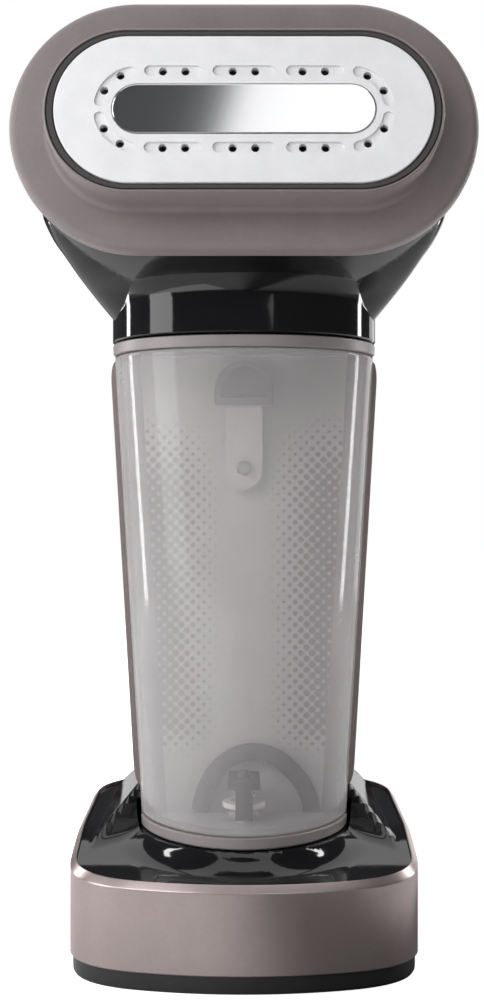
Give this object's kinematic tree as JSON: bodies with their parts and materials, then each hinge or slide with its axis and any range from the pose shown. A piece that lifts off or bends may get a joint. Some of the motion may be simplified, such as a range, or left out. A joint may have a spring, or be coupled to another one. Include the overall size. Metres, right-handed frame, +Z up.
{
  "type": "handheld garment steamer",
  "caption": "Upright garment steamer with a wide stadium-shaped steam plate, a removable front water tank, a loop handle with a trigger and a weighted base.",
  "frame": {"origin": "centre of the base's underside, below the middle of the whole part", "axes": "+Z up, the steam plate faces -Y, +X to the right for someone facing the plate"},
  "size_m": [0.1512, 0.159, 0.323],
  "materials": {
    "soft_touch": "matt",
    "band_metal": "satin",
    "gloss_black": "gloss",
    "satin_black": "satin",
    "clear_tank": "frosted",
    "pearl_plate": "fine matt",
    "mirror_face": "polished",
    "dark_rubber": "matt",
    "pale_plastic": "satin",
    "cast_alloy": "cast",
    "bright_steel": "bright",
    "coil_copper": "enamelled",
    "board_green": "satin",
    "silicone": "matt"
  },
  "bodies": {
    "body": {"head_ring": "soft_touch", "plate_gasket": "dark_rubber", "steam_plate": "pearl_plate", "mirror_insert": "mirror_face", "steam_generator": "cast_alloy", "generator_cover": "cast_alloy", "heating_element": "bright_steel", "heat_shield": "bright_steel", "thermostat": "bright_steel", "thermal_fuse": "pale_plastic", "head_cover_top": "gloss_black", "head_cover_bottom": "gloss_black", "neck_collar": "gloss_black", "button_spring": "bright_steel", "button_board": "board_green", "column_shell": "soft_touch", "catch_spring": "bright_steel", "handle_grip": "soft_touch", "handle_back": "gloss_black", "trigger_pin": "bright_steel", "trigger_spring": "bright_steel", "microswitch": "satin_black", "pump_housing": "satin_black", "pump_coil": "coil_copper", "pump_spring": "bright_steel", "pump_cap": "satin_black", "supply_hose": "silicone", "suction_hose": "silicone", "base_foot": "satin_black", "base_band": "band_metal", "base_deck": "gloss_black", "base_screw_1": "bright_steel", "base_screw_2": "bright_steel", "base_screw_3": "bright_steel", "base_screw_4": "bright_steel", "coupling_seal": "dark_rubber", "coupling_nipple": "pale_plastic", "cord_inlet": "dark_rubber", "circuit_board": "board_green", "terminal_block": "pale_plastic", "vent_hose": "dark_rubber"},
    "tank": {"tank_body": "clear_tank", "tank_top_trim": "soft_touch", "tank_bottom_trim": "soft_touch", "filler_rivet": "bright_steel", "valve_spring": "bright_steel", "valve_bridge": "satin_black"},
    "filler_cover": {"filler_arm": "pale_plastic", "filler_seal": "dark_rubber"},
    "valve": {"tank_valve": "pale_plastic"},
    "catch": {"tank_catch": "satin_black"},
    "trigger": {"trigger": "satin_black"},
    "lock": {"lock_slider": "satin_black"},
    "switch": {"switch_plunger": "pale_plastic"},
    "button": {"power_button": "soft_touch", "power_lens": "pale_plastic"},
    "plunger": {"pump_plunger": "bright_steel"}
  },
  "joints": [
    {"name": "tank_slide", "type": "slide", "parent": "body", "child": "tank", "axis": [0, -1, 0], "range_m": [0, 0.07]},
    {"name": "filler_cover_swing", "type": "hinge", "parent": "tank", "child": "filler_cover", "pos_m": [0, 0.00128, 0.1733], "axis": [0, 1, 0], "range_deg": [0, 75]},
    {"name": "tank_valve_lift", "type": "slide", "parent": "tank", "child": "valve", "axis": [0, 0, 1], "range_m": [0, 0.0025], "stiffness_N_per_m": 150, "springref_m": -0.002, "deforming": ["valve_spring"]},
    {"name": "catch_lift", "type": "slide", "parent": "body", "child": "catch", "axis": [0, 0, 1], "range_m": [0, 0.0025], "stiffness_N_per_m": 300, "springref_m": -0.002, "deforming": ["catch_spring"]},
    {"name": "trigger_pull", "type": "hinge", "parent": "body", "child": "trigger", "pos_m": [0, 0.04628, 0.214], "axis": [1, 0, 0], "range_deg": [0, 8], "stiffness_Nm_per_rad": 0.6, "springref_deg": -8.59},
    {"name": "switch_press", "type": "slide", "parent": "body", "child": "switch", "axis": [0, 1, 0], "range_m": [0, 0.0015]},
    {"name": "lock_slide", "type": "slide", "parent": "body", "child": "lock", "axis": [0, 0, 1], "range_m": [0, 0.005]},
    {"name": "power_press", "type": "slide", "parent": "body", "child": "button", "axis": [0, 0, -1], "range_m": [0, 0.0015], "stiffness_N_per_m": 500, "springref_m": -0.002, "deforming": ["button_spring"]},
    {"name": "pump_stroke", "type": "slide", "parent": "body", "child": "plunger", "axis": [0, 0, 1], "range_m": [-0.0025, 0.0025], "stiffness_N_per_m": 1500, "deforming": ["pump_spring"]}
  ],
  "couplings": [
    {"joint": "switch_press", "follows": "trigger_pull", "m_per_rad": 0.0107}
  ]
}
